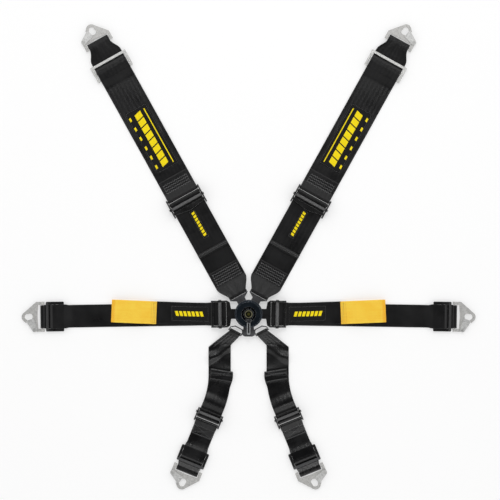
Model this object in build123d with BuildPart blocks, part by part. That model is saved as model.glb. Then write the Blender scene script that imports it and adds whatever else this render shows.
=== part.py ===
from build123d import *
import os
from math import cos, radians, sin

# Six-point racing harness, laid flat on a surface. Millimetres, +Z up.
# Origin: centre of the buckle's back plate, on the surface. +Y runs towards the shoulder belts.
# The right-hand half is drawn, and the left-hand half is its mirror image.

# ---- driving dimensions -------------------------------------------------------------------
shoulder_width = 73.0      # nominal 75 mm webbing
lap_width = 50.0           # lap and crotch webbing
cloth = 1.5                # webbing thickness
ply = 1.8                  # from one layer's middle to the next one's, where they lie loose
sewn = 1.6                 # the same where they are sewn together
run_z = 1.05               # middle of a layer that lies on the surface
hem_long = 9.5             # folded and sewn hem at a free end
hem_bend = 0.85

shoulder_heading = 61.0    # directions of the belts, anticlockwise from +X
lap_heading = -0.9
crotch_heading = -68.0

# buckle, from the surface upwards
buckle_r = 30.5
knob_r = 29.2
back_plate_top = 2.4
base_top = 7.6
tongue_low = 8.0
tongue_thick = 3.0
tongue_mid = tongue_low + tongue_thick / 2
slot_top = 11.4
carrier_low = 12.0
carrier_top = 14.0
roof_low = 21.9
roof_top = 24.0
knob_low = 24.4
knob_top = 30.5
cavity_r = 26.0
pin_circle_r = 18.0        # the locking pins stand on this circle
pin_r = 2.1
window_r = 2.5
shaft_r = 4.9
shaft_play = 0.05
cam_r = 8.65               # middle of the cam fins
cam_turn = 60.0            # degrees of knob travel
cam_lift = 4.5             # height that the pins rise over that travel
cam_pin_r = 1.1
screw_circle_r = 27.8
screw_angles = (30, 150, 225, 315)
screw_r = 1.5
screw_head_r = 1.95
screw_head_top = 1.9
stud_r = 2.4               # keeps the left lap tongue in the buckle

# anchors: plate, eye and sprung latch, from the eye's centre, x outward and y towards the gate
plate_z = 4.05             # middle of the plate's thickness
plate_thick = 3.0
eye_r = 6.3                # seat for a 7/16 inch eye bolt
seat_x = 2.7
eye_inner = (-2.6, -1.0)
nose_r = 11.9
ear_x = -36.5
ear_y = 33.0
slot_edge = -20.5
slot_peak = 1.5            # the slot's outer edge is this much higher in the middle
slot_half = 26.2
eye_to_bar = 29.5
anchor_bar_r = 2.0
pivot = (-13.0, 28.5)
pivot_r = 2.0
latch_lean = -68.4         # direction from the pivot to the latch's tip
latch_end_r = 5.5          # rounded end at the pivot
web_from = 8.0             # the web between the cheeks starts this far from the pivot
web_to = 19.0
latch_sheet = 1.0
latch_gap = 0.6            # room between the plate and each cheek

# adjusters: bars, from the surface
turn_bar_r = 2.4
turn_loop = 3.45           # radius of the webbing's middle line round the bar
bar_z = run_z + turn_loop
tongue_bar_r = 2.2
tongue_loop = 3.2
lock_r = 3.2
lock_neck_r = 2.0
lock_travel = 2.0
rail_thick = 3.2

# sliders
slider_low = 3.6
slider_thick = 2.5
slider_bar = 6.0           # width of each of the three bars
under_z = slider_low - 0.2 - cloth / 2
over_z = slider_low + slider_thick + 0.2 + cloth / 2
anchor_loop = 3.0

# places along each belt, from the buckle's centre, or from where the crotch strap runs straight;
# the reach is how far the webbing's loop stands out past the anchor's bar
shoulder = dict(lip=261.0, lock=281.0, turn=291.0, tail=300.0, slider=623.0, pitch=16.0,
                bar=682.2, reach=6.9)
lap = dict(turn=53.5, lock=62.9, lip=79.8, slider=427.0, pitch=17.0, bar=455.3, reach=3.2)
crotch = dict(lip=15.0, lock=24.2, turn=31.6, tail=41.0, slider=122.5, pitch=15.0,
              bar=154.0, reach=6.5)

# crotch strap: straight down from the fold, then an arc into its straight lower part
strap_x = 64.0
fold_y = -70.0
free_end_y = -127.5        # hem of the crotch strap's free end
free_end_turn = 8.0        # degrees that it lies askew
bend_y = -135.0
bend_r = 180.0
bend_turn = 22.0
bend_centre = (strap_x + bend_r, bend_y)
crotch_start = (
    bend_centre[0] - bend_r * cos(radians(bend_turn)),
    bend_y - bend_r * sin(radians(bend_turn)),
)
wing_bar = (29.6, -41.0)   # middle of the crotch tongue's webbing bar
wing_heading = -62.5       # the way the webbing leaves that bar

os.makedirs("parts", exist_ok=True)


# ---- helpers ------------------------------------------------------------------------------
def direction(heading):
    return Vector(cos(radians(heading)), sin(radians(heading)), 0)


def side_plane(heading, start=(0, 0)):
    """Upright plane along a belt: x runs outward and y is the height."""
    along = direction(heading)
    return Plane((start[0], start[1], 0), x_dir=along, z_dir=along.cross(Vector(0, 0, 1)))


def top_plane(heading, start=(0, 0), height=0.0, up=1):
    """Level plane along a belt: x runs outward. With up = -1 its y is turned to the other side."""
    return Plane((start[0], start[1], height), x_dir=direction(heading), z_dir=(0, 0, up))


def ribbon(side, route, radii, width):
    """Webbing of one width that follows a side-view middle line."""
    with BuildSketch(side) as profile:
        with BuildLine():
            FilletPolyline(*route, radius=radii)
        trace(line_width=cloth)
    extrude(profile.sketch, amount=width / 2, both=True)


def cross_bar(side, x, z, radius, half_long):
    """Round bar across a belt."""
    with BuildSketch(side) as section:
        with Locations((x, z)):
            Circle(radius)
    extrude(section.sketch, amount=half_long, both=True)


def keep_outline(top, outline):
    """Trims the part to a plan outline."""
    with BuildSketch(top) as plan:
        Polygon(*outline, align=None)
    extrude(plan.sketch, amount=40, mode=Mode.INTERSECT)


def mirrored_outline(half):
    """Closes a half outline, given on the +y side, about the belt's middle line."""
    return half + [(x, -y) for x, y in reversed(half)]


def save(piece, name):
    piece.part.label = name
    export_step(piece.part, f"parts/{name}.step")


def save_pair(piece, name):
    """Writes a right-hand piece and its mirror image."""
    save(piece, f"{name}_right")
    with BuildPart() as twin:
        mirror(piece.part, about=Plane.YZ)
    save(twin, f"{name}_left")


def hem(x, z):
    """Free end folded twice on itself, from its last bend back to its raw edge."""
    return [(x, z), (x, z + ply), (x + hem_long, z + ply), (x + hem_long, z + 2 * ply),
            (x + 1.5, z + 2 * ply)]


def hook_end(place):
    """Route through a three-bar slider, round the anchor's bar and back to a hidden tail."""
    inner = place["slider"] - place["pitch"]
    middle = place["slider"]
    outer = place["slider"] + place["pitch"]
    bar = place["bar"]
    end = bar + place["reach"]
    route = [
        (inner - 22, run_z), (inner - 3, over_z), (middle - 4, over_z + sewn),
        (middle + 4.6, over_z + sewn), (outer - 4, under_z), (outer + 3.5, under_z),
        (bar - 3, plate_z + anchor_loop), (end, plate_z + anchor_loop),
        (end, run_z), (outer - 5, run_z), (middle + 3.9, over_z),
        (middle - 3.2, over_z), (inner + 4, under_z), (inner - 5, under_z),
    ]
    radii = [20, 6, 6, 3, 3, 3, 3, 2.9, 2.9, 3, 3, 3, 3]
    return route, radii


# ---- buckle -------------------------------------------------------------------------------
tongue_headings = (shoulder_heading, 180 - shoulder_heading, lap_heading, 180 - lap_heading, -90)
tongue_necks = (20.0, 20.0, 22.0, 22.0, 23.0)
pin_headings = (shoulder_heading, 180 - shoulder_heading, lap_heading, -90)
rivet_heading = 180 - lap_heading     # the left lap tongue stays riveted in the buckle

with BuildPart() as back_plate:
    with BuildSketch():
        Circle(buckle_r)
    extrude(amount=back_plate_top)
    chamfer(back_plate.edges().group_by(Axis.Z)[0], 0.6)
    with BuildSketch():
        with Locations([direction(a) * screw_circle_r for a in screw_angles]):
            Circle(screw_head_r + 0.1)
    extrude(amount=screw_head_top, mode=Mode.SUBTRACT)
    with BuildSketch():
        with Locations([direction(a) * screw_circle_r for a in screw_angles]):
            Circle(screw_r)
    extrude(amount=back_plate_top, mode=Mode.SUBTRACT)
save(back_plate, "back_plate")

with BuildPart() as housing:
    with BuildSketch(Plane.XY.offset(back_plate_top)):
        Circle(buckle_r)
    extrude(amount=roof_top - back_plate_top)
    fillet(housing.edges().group_by(Axis.Z)[-1], 1.2)
    with BuildSketch(Plane.XY.offset(base_top)):
        Circle(cavity_r)
    extrude(amount=roof_low - base_top, mode=Mode.SUBTRACT)
    with BuildSketch(Plane.XY.offset(5.0)):
        Circle(12.3)
    extrude(amount=base_top - 5.0, mode=Mode.SUBTRACT)
    with BuildSketch(Plane.XY.offset(roof_low)):
        Circle(shaft_r + shaft_play)
    extrude(amount=roof_top - roof_low, mode=Mode.SUBTRACT)
    for heading, neck in zip(tongue_headings, tongue_necks):
        with BuildSketch(top_plane(heading, height=base_top)):
            with Locations((32, 0)):
                Rectangle(24, neck + 0.8)
        extrude(amount=slot_top - base_top, mode=Mode.SUBTRACT)
    with BuildSketch(Plane.XY.offset(base_top)):
        with Locations([direction(a) * pin_circle_r for a in pin_headings]):
            Circle(window_r)
    extrude(amount=-1.2, mode=Mode.SUBTRACT)
    with BuildSketch(Plane.XY.offset(back_plate_top)):
        with Locations([direction(a) * screw_circle_r for a in screw_angles]):
            Circle(screw_r)
    extrude(amount=8.0, mode=Mode.SUBTRACT)
    with BuildSketch(Plane.XY.offset(back_plate_top)):
        with Locations(direction(rivet_heading) * pin_circle_r):
            Circle(stud_r)
    extrude(amount=base_top - back_plate_top, mode=Mode.SUBTRACT)
save(housing, "housing")

# four case screws, and the stud that keeps the left lap tongue in the buckle
with BuildPart() as buckle_screws:
    with BuildSketch(Plane.XY.offset(0.3)):
        with Locations([direction(a) * screw_circle_r for a in screw_angles]):
            Circle(screw_head_r)
    extrude(amount=screw_head_top - 0.3)
    with BuildSketch(Plane.XY.offset(screw_head_top)):
        with Locations([direction(a) * screw_circle_r for a in screw_angles]):
            Circle(screw_r)
    extrude(amount=back_plate_top + 7.5 - screw_head_top)
    with BuildSketch(Plane.XY.offset(back_plate_top)):
        with Locations(direction(rivet_heading) * pin_circle_r):
            Circle(stud_r)
    extrude(amount=slot_top - back_plate_top)
save(buckle_screws, "buckle_screws")

# shaft from the knob, with three radial cam pins under the pin carrier's fins
with BuildPart() as cam_rotor:
    with BuildSketch(Plane.XY.offset(5.4)):
        Circle(shaft_r)
    extrude(amount=roof_top + 0.3 - 5.4)
    with BuildSketch(Plane.XY.offset(roof_top + 0.3)):
        Rectangle(6.6, 6.6)
    extrude(amount=2.7)
    for turn in (0, 120, 240):
        radial = direction(turn)
        with BuildSketch(Plane((0, 0, carrier_low - 1.5), x_dir=(0, 0, 1), z_dir=radial)):
            Circle(cam_pin_r)
        extrude(amount=10.0)
save(cam_rotor, "cam_rotor")

# plate with the locking pins below it and three fins that ride on the cam pins
with BuildPart() as pin_carrier:
    with BuildSketch(Plane.XY.offset(carrier_low)):
        Circle(21.2)
        Circle(shaft_r + 0.4, mode=Mode.SUBTRACT)
    extrude(amount=carrier_top - carrier_low)
    with BuildSketch(Plane.XY.offset(6.9)):
        with Locations([direction(a) * pin_circle_r for a in pin_headings]):
            Circle(pin_r)
    extrude(amount=carrier_low - 6.9)
    for turn in (0, 120, 240):
        radial = direction(turn + cam_turn / 2)
        tangent = direction(turn + cam_turn / 2 + 90)
        half = cam_r * sin(radians(cam_turn / 2))
        with BuildSketch(Plane(radial * (cam_r - 0.8), x_dir=tangent, z_dir=radial)):
            Polygon(
                (-half, carrier_low), (half, carrier_low - cam_lift),
                (half + 1.5, carrier_low - cam_lift), (half + 1.5, carrier_low), align=None,
            )
        extrude(amount=1.6)
save(pin_carrier, "pin_carrier")

# compression spring that pushes the locking pins down
spring_wire_r = 0.55
spring_r = 8.2
spring_turns = 3
with BuildPart() as lock_spring:
    height = roof_low - carrier_top - 2 * spring_wire_r - 0.1
    with BuildLine(Plane.XY.offset(carrier_top + spring_wire_r + 0.05)) as coil:
        Helix(pitch=height / spring_turns, height=height, radius=spring_r)
    with BuildSketch(coil.line ^ 0):
        Circle(spring_wire_r)
    sweep(path=coil.line, is_frenet=True)
save(lock_spring, "lock_spring")

lever_low = 27.6
lever_wide = 7.4
lever_head = 12.5          # width of the cross piece that holds the lever in the knob
with BuildPart() as knob_lever:
    with BuildSketch(top_plane(-90, height=lever_low)) as lever_outline:
        with Locations((29.5, 0)):
            Rectangle(31, lever_wide)
        fillet(lever_outline.vertices().sort_by(Axis.X)[-2:], 3.0)
        with Locations((14.5, 0)):
            Rectangle(5, lever_head)
    extrude(amount=3.9)
    chamfer(knob_lever.edges().group_by(Axis.Z)[-1], 0.5)
    with BuildSketch(top_plane(-90, height=lever_low + 3.9)):
        with Locations((31, 0)):
            SlotOverall(22, 3.6)
    extrude(amount=-1.0, mode=Mode.SUBTRACT)
save(knob_lever, "knob_lever")

badge_r = 10.0
with BuildPart() as knob:
    with BuildSketch(Plane.XY.offset(knob_low)):
        Circle(knob_r)
    extrude(amount=knob_top - knob_low)
    chamfer(knob.edges().group_by(Axis.Z)[-1], 2.2)
    with BuildSketch(Plane.XY.offset(knob_top)):
        Circle(16.0)
        Circle(badge_r + 1.2, mode=Mode.SUBTRACT)
    extrude(amount=-0.9, mode=Mode.SUBTRACT)
    with BuildSketch(Plane.XY.offset(knob_top)):
        Circle(badge_r)
    extrude(amount=-0.8, mode=Mode.SUBTRACT)
    with BuildSketch(top_plane(-90, height=lever_low)):
        with Locations((31, 0)):
            Rectangle(34, lever_wide)
        with Locations((14.5, 0)):
            Rectangle(5, lever_head)
    extrude(amount=6, mode=Mode.SUBTRACT)
    with BuildSketch(Plane.XY.offset(knob_low)):
        Rectangle(6.6, 6.6)
    extrude(amount=2.6, mode=Mode.SUBTRACT)
save(knob, "knob")

with BuildPart() as knob_badge:
    with BuildSketch(Plane.XY.offset(knob_top - 0.8)):
        Circle(badge_r)
    extrude(amount=1.6)
    fillet(knob_badge.edges().group_by(Axis.Z)[-1], 0.6)
save(knob_badge, "knob_badge")


# ---- tongues ------------------------------------------------------------------------------
def fork_nose(top, neck):
    """Narrow nose that lies in the buckle, with an open fork round the locking pin."""
    with BuildSketch(top) as nose:
        Polygon(*mirrored_outline([(13, 5.5), (22, 5.5), (26.5, neck / 2), (36, neck / 2)]),
                align=None)
        with Locations((pin_circle_r - 4, 0)):
            SlotOverall(8 + 2 * window_r, 2 * window_r, mode=Mode.SUBTRACT)
    extrude(nose.sketch, amount=tongue_thick)


shoulder_side = side_plane(shoulder_heading)
shoulder_top = top_plane(shoulder_heading)
tongue_bar_x = 48.5

with BuildPart() as tongue_shoulder:
    level = top_plane(shoulder_heading, height=tongue_low)
    fork_nose(level, tongue_necks[0])
    with BuildSketch(level):
        Polygon(*mirrored_outline([(34, 10), (36, 10), (43, 21.6), (51, 21.6)]), align=None)
        with Locations((50, 0)):
            Rectangle(11.8, 38.0, mode=Mode.SUBTRACT)
    extrude(amount=tongue_thick)
    cross_bar(shoulder_side, tongue_bar_x, tongue_mid, tongue_bar_r, 21.6)
save_pair(tongue_shoulder, "tongue_shoulder")

# both crotch straps hang on one tongue, on a wing at each side
wing_side = side_plane(wing_heading, wing_bar)
wing_level = top_plane(wing_heading, wing_bar, tongue_low)
with BuildPart() as tongue_crotch:
    level = top_plane(-90, height=tongue_low)
    fork_nose(level, tongue_necks[4])
    with BuildSketch(level):
        Polygon(*mirrored_outline([(30, 11.5), (48, 13.5), (50.5, 8)]), align=None)
    extrude(amount=tongue_thick)
    with BuildSketch(wing_level):
        Polygon((-13, -14), (-13.5, 6.5), (-7, 15.0), (2.2, 16.6), (2.2, -15.5), (-8, -17.5),
                align=None)
        Polygon((-11, -10), (-11, 5.5), (-5.6, 13.4), (6, 13.4), (6, -13.4), (-7, -13.4),
                align=None, mode=Mode.SUBTRACT)
    extrude(amount=tongue_thick)
    cross_bar(wing_side, 0, tongue_mid, tongue_bar_r, 15.4)
    mirror(about=Plane.YZ)
save(tongue_crotch, "tongue_crotch")

# the lap tongue is one piece with its adjuster
lap_side = side_plane(lap_heading)
lap_inner = 26.2
lap_outer = 29.6
lap_turn_z = 6.0
lap_lock_z = 13.4
with BuildPart() as tongue_lap:
    level = top_plane(lap_heading, height=tongue_low)
    fork_nose(level, tongue_necks[2])
    with BuildSketch(level):
        Polygon(
            *mirrored_outline([(34, 11), (38.5, 11), (41, 25.5), (47, lap_outer), (49, lap_outer)]),
            align=None,
        )
    extrude(amount=tongue_thick)
    for hand in (1, -1):
        with BuildSketch(lap_side.offset(hand * lap_inner)):
            Polygon(
                (47, 3.4), (58, 3.4), (70, 5.2), (82.6, 5.2), (82.6, 11), (73, 13.5), (69, 17.2),
                (57, 17.2), (51, 12), (47, 11), align=None,
            )
            with Locations((lap["lock"] + lock_travel / 2, lap_lock_z)):
                SlotOverall(lock_travel + 2 * lock_neck_r + 0.2, 2 * lock_neck_r + 0.2,
                            mode=Mode.SUBTRACT)
        extrude(amount=hand * (lap_outer - lap_inner))
    cross_bar(lap_side, lap["turn"], lap_turn_z, turn_bar_r, lap_outer)
    with BuildSketch(lap_side):
        with Locations((lap["lip"], 9.1)):
            RectangleRounded(5.6, 3.0, 1.2)
    extrude(amount=lap_outer, both=True)
save_pair(tongue_lap, "tongue_lap")


# ---- adjusters and lock bars --------------------------------------------------------------
def adjuster_rails(side, place, inner, lock_z):
    """The two side plates, with a slot each for the lock bar."""
    lip, lock, tail = place["lip"], place["lock"], place["tail"]
    for hand in (1, -1):
        with BuildSketch(side.offset(hand * inner)) as rail:
            Polygon(
                (lip + 3, 3.2), (lip + 9, 1.9), (tail + 4, 1.9), (tail + 4, 7.4),
                (tail - 2, 9.0), (lock + 5.5, lock_z + 3.6), (lock - 5, lock_z + 3.6),
                (lip, 10.2), (lip, 6.4), align=None,
            )
            with Locations((lock - lock_travel / 2, lock_z)):
                SlotOverall(lock_travel + 2 * lock_neck_r + 0.2, 2 * lock_neck_r + 0.2,
                            mode=Mode.SUBTRACT)
        extrude(rail.sketch, amount=hand * rail_thick)


def lock_bar(side, x, z, inner, radius):
    """Knurled bar above the webbing, with necks in the side plates and a knob on each end."""
    cross_bar(side, x, z, radius, inner - 0.3)
    cross_bar(side, x, z, lock_neck_r, inner + rail_thick + 0.8)
    for hand in (1, -1):
        with BuildSketch(side.offset(hand * (inner + rail_thick + 0.5))) as knob_end:
            with Locations((x, z)):
                Circle(radius - 0.4)
        extrude(knob_end.sketch, amount=hand * 1.6)


lock_z = 11.4
shoulder_inner = 37.4
with BuildPart() as adjuster_shoulder:
    adjuster_rails(shoulder_side, shoulder, shoulder_inner, lock_z)
    for x in (shoulder["turn"], shoulder["tail"]):
        cross_bar(shoulder_side, x, bar_z, turn_bar_r, shoulder_inner + rail_thick)
    with BuildSketch(top_plane(shoulder_heading, height=7.3)):
        lip = shoulder["lip"]
        Polygon(*mirrored_outline([(lip, 0), (lip + 6.5, 38), (lip + 12, 38)])[1:-1],
                (lip, 0), align=None)
    extrude(amount=2.6)
save_pair(adjuster_shoulder, "adjuster_shoulder")

with BuildPart() as lock_bar_shoulder:
    lock_bar(shoulder_side, shoulder["lock"], lock_z, shoulder_inner, lock_r)
save_pair(lock_bar_shoulder, "lock_bar_shoulder")

with BuildPart() as lock_bar_lap:
    lock_bar(lap_side, lap["lock"], lap_lock_z, lap_inner, 3.8)
save_pair(lock_bar_lap, "lock_bar_lap")

crotch_side = side_plane(crotch_heading, crotch_start)
crotch_inner = 26.2
crotch_lock_z = 10.6
with BuildPart() as adjuster_crotch:
    adjuster_rails(crotch_side, crotch, crotch_inner, crotch_lock_z)
    for x in (crotch["turn"], crotch["tail"]):
        cross_bar(crotch_side, x, bar_z, turn_bar_r, crotch_inner + rail_thick)
    with BuildSketch(crotch_side):
        with Locations((crotch["lip"] + 1.6, 8.5)):
            RectangleRounded(3.6, 2.4, 1.0)
    extrude(amount=crotch_inner + rail_thick, both=True)
save_pair(adjuster_crotch, "adjuster_crotch")

with BuildPart() as lock_bar_crotch:
    lock_bar(crotch_side, crotch["lock"], crotch_lock_z, crotch_inner, 2.9)
save_pair(lock_bar_crotch, "lock_bar_crotch")


# ---- three-bar sliders --------------------------------------------------------------------
def slider(top, place, inner, outer):
    """Flat frame with three cross bars."""
    with BuildSketch(top) as frame:
        with Locations((place["slider"], 0)):
            RectangleRounded(2 * place["pitch"] + slider_bar, 2 * outer, 2.4)
            with Locations((-place["pitch"] / 2, 0), (place["pitch"] / 2, 0)):
                Rectangle(place["pitch"] - slider_bar, 2 * inner, mode=Mode.SUBTRACT)
    extrude(frame.sketch, amount=slider_thick)


with BuildPart() as slider_shoulder:
    slider(top_plane(shoulder_heading, height=slider_low), shoulder, 38.0, 44.0)
    fillet(slider_shoulder.edges().group_by(Axis.Z)[-1], 0.7)
save_pair(slider_shoulder, "slider_shoulder")

with BuildPart() as slider_lap:
    slider(top_plane(lap_heading, height=slider_low), lap, 26.6, 32.8)
    fillet(slider_lap.edges().group_by(Axis.Z)[-1], 0.7)
save_pair(slider_lap, "slider_lap")

with BuildPart() as slider_crotch:
    slider(top_plane(crotch_heading, crotch_start, slider_low), crotch, 26.4, 32.0)
    fillet(slider_crotch.edges().group_by(Axis.Z)[-1], 0.7)
save_pair(slider_crotch, "slider_crotch")


# ---- webbing ------------------------------------------------------------------------------
half = shoulder_width / 2
with BuildPart() as webbing_shoulder_lower:
    bend = tongue_bar_x - tongue_loop
    turn = shoulder["turn"] + turn_loop
    route = [
        (118, run_z + sewn), (84, run_z + sewn), (50.5, tongue_mid + tongue_loop + 0.05),
        (bend, tongue_mid + tongue_loop + 0.05), (bend, tongue_mid - tongue_loop - 0.05),
        (51, tongue_mid - tongue_loop - 0.05), (76, run_z), (turn, run_z),
        (turn, bar_z + turn_loop), (288, bar_z + turn_loop), (276, 6.1), (262, 5.6),
        (238, run_z + ply),
    ] + hem(157, run_z + ply)
    radii = [20, 8, 3.2, 3.2, 8, 20, 3.4, 3.4, 6, 20, 20, 30] + [hem_bend] * 4
    ribbon(shoulder_side, route, radii, shoulder_width)
    keep_outline(shoulder_top, mirrored_outline([(40, 18.5), (46, 18.5), (78, half), (300, half)]))
save_pair(webbing_shoulder_lower, "webbing_shoulder_lower")

with BuildPart() as webbing_shoulder_upper:
    bend = shoulder["tail"] - turn_loop
    route, radii = hook_end(shoulder)
    route = [
        (347, run_z + sewn), (316, run_z + sewn), (302, bar_z + turn_loop),
        (bend, bar_z + turn_loop), (bend, run_z),
    ] + route
    radii = [20, 6, 3.4, 3.4] + radii
    ribbon(shoulder_side, route, radii, shoulder_width)
    keep_outline(
        shoulder_top,
        mirrored_outline([(290, half), (650, half), (666, 27), (674, 25), (690, 25)]),
    )
save_pair(webbing_shoulder_upper, "webbing_shoulder_upper")

with BuildPart() as webbing_lap:
    bend = lap["turn"] - turn_loop
    route, radii = hook_end(lap)
    route = [
        (212, run_z + ply), (97, run_z + ply), (83, 5.8), (75, 6.2),
        (57.5, lap_turn_z + turn_loop), (bend, lap_turn_z + turn_loop),
        (bend, lap_turn_z - turn_loop), (60, lap_turn_z - turn_loop), (84, run_z),
    ] + route
    radii = [20, 20, 20, 6, 3.4, 3.4, 8, 20] + radii
    ribbon(lap_side, route, radii, lap_width)
save_pair(webbing_lap, "webbing_lap")

# pull loop sewn on the lap belt's free end, a little askew
loop_start = direction(lap_heading) * 203 + direction(lap_heading + 90) * 4.9
loop_rise = 6.4            # room for the fingers
with BuildPart() as pull_loop:
    side = side_plane(lap_heading + 3.3, (loop_start.X, loop_start.Y))
    low = run_z + 2 * ply
    route = [
        (0, low), (13, low), (24, run_z + ply), (98.0, run_z + ply), (98.0, run_z + ply + loop_rise),
        (34, run_z + ply + loop_rise), (12, low + sewn), (0.5, low + sewn),
    ]
    ribbon(side, route, [8, 8, 3.1, 3.1, 30, 12], lap_width)
save_pair(pull_loop, "pull_loop")


def strap_outline(top_y, half_wide):
    """Crotch strap in plan: straight down, then along the arc to where it runs straight."""
    with BuildLine() as outline:
        near = CenterArc(bend_centre, bend_r + half_wide, 180, bend_turn)
        far = CenterArc(bend_centre, bend_r - half_wide, 180, bend_turn)
        Line(near @ 1, far @ 1)
        Polyline(near @ 0, (strap_x - half_wide, top_y), (strap_x + half_wide, top_y), far @ 0)
    make_face(outline.edges())


strap_half = 24.6
with BuildPart() as webbing_crotch_upper:
    # sewn loop round the tongue's bar and the slope down to the surface
    route = [
        (37, run_z + sewn), (32, run_z + sewn), (2, tongue_mid + tongue_loop + 0.05),
        (-tongue_loop, tongue_mid + tongue_loop + 0.05),
        (-tongue_loop, tongue_mid - tongue_loop - 0.05), (2.5, tongue_mid - tongue_loop - 0.05),
        (26, run_z), (60, run_z),
    ]
    ribbon(wing_side, route, [10, 6, 3.2, 3.2, 6, 20], 120)
    keep_outline(
        Plane.XY,
        [(14.7, -39.7), (37.1, -28.1), (41.9, -36.8), (strap_x + strap_half, -74),
         (strap_x + strap_half, -80), (strap_x - strap_half, -80),
         (strap_x - strap_half, fold_y), (19.1, -48.7)],
    )
    # the strap on the surface
    with BuildSketch(Plane.XY.offset(run_z - cloth / 2)):
        strap_outline(-78, strap_half)
    extrude(amount=cloth)
    # round the adjuster's bar and back over itself as the free end
    turn = crotch["turn"] + turn_loop
    route = [
        (-0.5, run_z), (turn, run_z), (turn, bar_z + turn_loop), (29.4, bar_z + turn_loop),
        (22, 5.9), (14, 5.2), (2, run_z + ply), (-0.5, run_z + ply),
    ]
    ribbon(crotch_side, route, [3.4, 3.4, 3, 8, 10, 6], 2 * strap_half)
    with BuildSketch(Plane.XY.offset(run_z + ply - cloth / 2)):
        strap_outline(free_end_y - 2, strap_half)
    extrude(amount=cloth)
    # its hem lies a little turned
    end_side = side_plane(90 + free_end_turn, (strap_x - 1.5, free_end_y - 21))
    ribbon(end_side, [(0, run_z + ply), (22, run_z + ply), (22, run_z + 2 * ply),
                      (1, run_z + 2 * ply)], [hem_bend, hem_bend], 2 * strap_half)
save_pair(webbing_crotch_upper, "webbing_crotch_upper")

with BuildPart() as webbing_crotch_lower:
    bend = crotch["tail"] - turn_loop
    route, radii = hook_end(crotch)
    route = [
        (74, run_z + sewn), (54, run_z + sewn), (43, bar_z + turn_loop),
        (bend, bar_z + turn_loop), (bend, run_z),
    ] + route
    radii = [12, 6, 3.4, 3.4] + radii
    ribbon(crotch_side, route, radii, 2 * strap_half)
save_pair(webbing_crotch_lower, "webbing_crotch_lower")

# ---- anchors ------------------------------------------------------------------------------
latch_inner = plate_thick / 2 + latch_gap


def latch_point(along, across):
    """Point on the latch, from its pivot towards its tip and across to the mouth's side."""
    point = Vector(*pivot) + direction(latch_lean) * along + direction(latch_lean + 90) * across
    return (point.X, point.Y)


belts = (
    ("shoulder", shoulder_heading, (0, 0), shoulder["bar"], -1),
    ("lap", lap_heading, (0, 0), lap["bar"], -1),
    ("crotch", crotch_heading, crotch_start, crotch["bar"], 1),
)

for belt, heading, start, bar_x, gate in belts:
    eye = Vector(start[0], start[1]) + direction(heading) * (bar_x + eye_to_bar)
    # x outward from the eye, y towards the gate, middle of the plate's thickness
    middle = top_plane(heading, (eye.X, eye.Y), plate_z, gate)
    tilt = Plane(middle.origin, x_dir=middle.x_dir, z_dir=middle.y_dir * -1)

    with BuildPart() as anchor:
        with BuildSketch(middle):
            with Locations((3.6, 0)):
                Circle(nose_r)
            Polygon(
                (9.6, 10.2), (-16.8, ear_y), (ear_x + 1.5, ear_y), (ear_x + 1.5, -ear_y),
                (-16.8, -ear_y), (9.6, -10.2), align=None,
            )
            with Locations(pivot):
                Circle(5.0)
            # slot for the webbing, open behind the round bar
            Polygon(
                (slot_edge, slot_half), (-50, slot_half), (-50, -slot_half),
                (slot_edge, -slot_half), (slot_edge + slot_peak, 0), align=None, mode=Mode.SUBTRACT,
            )
            # eye, and the mouth that leads into it
            with Locations((seat_x, 0), eye_inner):
                Circle(eye_r, mode=Mode.SUBTRACT)
            Polygon(
                (3.4, 4.5), (5.6, 13.5), (5.6, 45), (-7.6, 45), (-7.8, 24), (-9.2, 21.5),
                (-10.4, 6), (-5, 0), align=None, mode=Mode.SUBTRACT,
            )
            with Locations(pivot):
                Circle(pivot_r, mode=Mode.SUBTRACT)
        extrude(amount=plate_thick / 2, both=True)
        with BuildSketch(tilt):
            with Locations((-eye_to_bar, 0)):
                Circle(anchor_bar_r)
        extrude(amount=ear_y - 1, both=True)
    save_pair(anchor, f"anchor_{belt}")

    # channel-shaped latch: two cheeks, wider at the tip, and a web that closes the mouth
    with BuildPart() as latch:
        for hand in (1, -1):
            with BuildSketch(middle.offset(hand * latch_inner)):
                with Locations(pivot):
                    Circle(latch_end_r)
                Polygon(
                    latch_point(0, latch_end_r), latch_point(23.5, 10.2), latch_point(25.5, 7.0),
                    latch_point(24.5, -5.0), latch_point(22.5, -7.0),
                    latch_point(0, -latch_end_r), align=None,
                )
                with Locations(pivot):
                    Circle(pivot_r + shaft_play, mode=Mode.SUBTRACT)
            extrude(amount=hand * latch_sheet)
        with BuildSketch(middle):
            Polygon(
                latch_point(web_from, 5.5), latch_point(web_to, 5.5),
                latch_point(web_to, 4.4), latch_point(web_from, 4.4), align=None,
            )
        extrude(amount=latch_inner + 0.2, both=True)
    save_pair(latch, f"latch_{belt}")

    # rivet that the latch turns on, and the coil of its return spring with the leg on the plate
    with BuildPart() as latch_rivet:
        with BuildSketch(middle):
            with Locations(pivot):
                Circle(pivot_r)
        extrude(amount=latch_inner + latch_sheet + 0.05, both=True)
        for hand in (1, -1):
            with BuildSketch(middle.offset(hand * (latch_inner + latch_sheet + 0.05))):
                with Locations(pivot):
                    Circle(3.4)
            extrude(amount=hand * 0.7)
        with BuildSketch(middle.offset(plate_thick / 2 + 0.08)):
            with Locations(pivot):
                Circle(3.3)
                Circle(2.8, mode=Mode.SUBTRACT)
            with Locations((pivot[0] - 5.0, pivot[1] + 3.05)):
                Rectangle(10.0, 0.5)
            with Locations(pivot):
                Circle(2.8, mode=Mode.SUBTRACT)
        extrude(amount=0.44)
    save_pair(latch_rivet, f"latch_rivet_{belt}")
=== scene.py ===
import math

import bpy
import numpy as np
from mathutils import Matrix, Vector
from mathutils.bvhtree import BVHTree


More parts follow.
